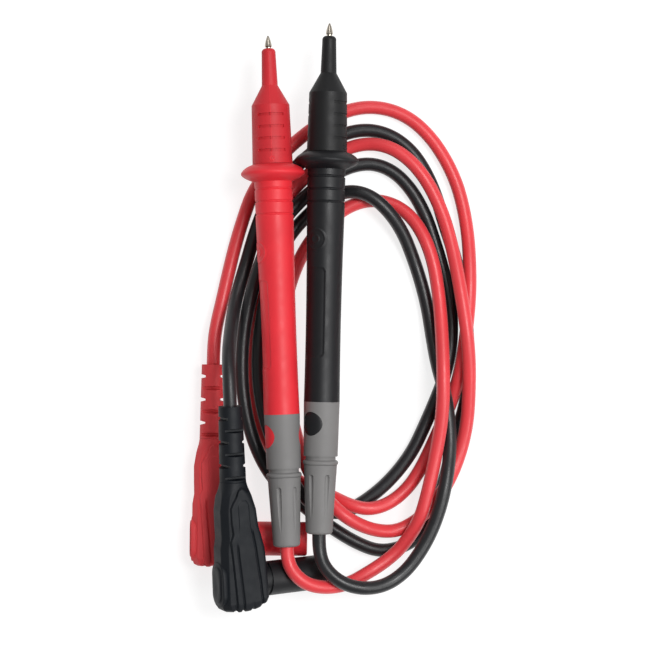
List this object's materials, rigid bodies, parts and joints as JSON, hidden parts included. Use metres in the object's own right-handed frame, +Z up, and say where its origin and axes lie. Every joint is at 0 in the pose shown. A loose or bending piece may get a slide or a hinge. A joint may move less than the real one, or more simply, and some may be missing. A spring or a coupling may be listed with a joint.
{
  "type": "multimeter test lead pair",
  "caption": "Red and black multimeter test leads lying as a loose bundle: hand probes with slide-off tip caps, limp cords and right-angled shrouded banana plugs.",
  "frame": {"origin": "middle of the probes' and plugs' footprint, on the surface that the bundle lies on", "axes": "+Y from the plugs to the probe tips, +Z up, +X from the plugs towards the cords' loops"},
  "size_m": [0.0853, 0.1719, 0.0256],
  "materials": {
    "red_plastic": "fine satin moulded",
    "black_plastic": "fine satin moulded",
    "red_boot": "matte moulded",
    "black_boot": "matte moulded",
    "grey_rubber": "matte moulded",
    "red_silicone": "smooth silicone, soft sheen",
    "black_silicone": "smooth silicone, soft sheen",
    "nickel": "bright nickel plate",
    "brass": "plain turned"
  },
  "bodies": {
    "root": {"red_tip_needle": "nickel", "red_probe_body": "red_plastic", "red_rear_sleeve": "grey_rubber", "red_rear_bushing": "grey_rubber", "red_needle_ferrule": "brass", "red_cable_tail_in_probe": "red_silicone", "red_strain_relief": "red_boot", "red_plug_body": "red_boot", "red_cable_tail_in_plug": "red_silicone", "red_wire_crimp": "brass", "red_plug_shroud": "red_plastic", "red_pin_bush": "red_plastic", "red_banana_pin": "nickel", "red_contact_spring": "nickel", "red_thumb_pad": "red_boot", "red_cord": "red_silicone", "black_tip_needle": "nickel", "black_probe_body": "black_plastic", "black_rear_sleeve": "grey_rubber", "black_rear_bushing": "grey_rubber", "black_needle_ferrule": "brass", "black_cable_tail_in_probe": "black_silicone", "black_strain_relief": "black_boot", "black_plug_body": "black_boot", "black_cable_tail_in_plug": "black_silicone", "black_wire_crimp": "brass", "black_plug_shroud": "black_plastic", "black_pin_bush": "black_plastic", "black_banana_pin": "nickel", "black_contact_spring": "nickel", "black_thumb_pad": "black_boot", "black_cord": "black_silicone"},
    "red_cap": {"red_tip_cap": "red_plastic"},
    "black_cap": {"black_tip_cap": "black_plastic"}
  },
  "joints": [
    {"name": "red_cap_slide", "type": "slide", "parent": "root", "child": "red_cap", "axis": [-0.0368, 0.9993, -0.0054], "range_m": [0, 0.042]},
    {"name": "black_cap_slide", "type": "slide", "parent": "root", "child": "black_cap", "axis": [0.0207, 0.9998, 0], "range_m": [0, 0.042]}
  ]
}
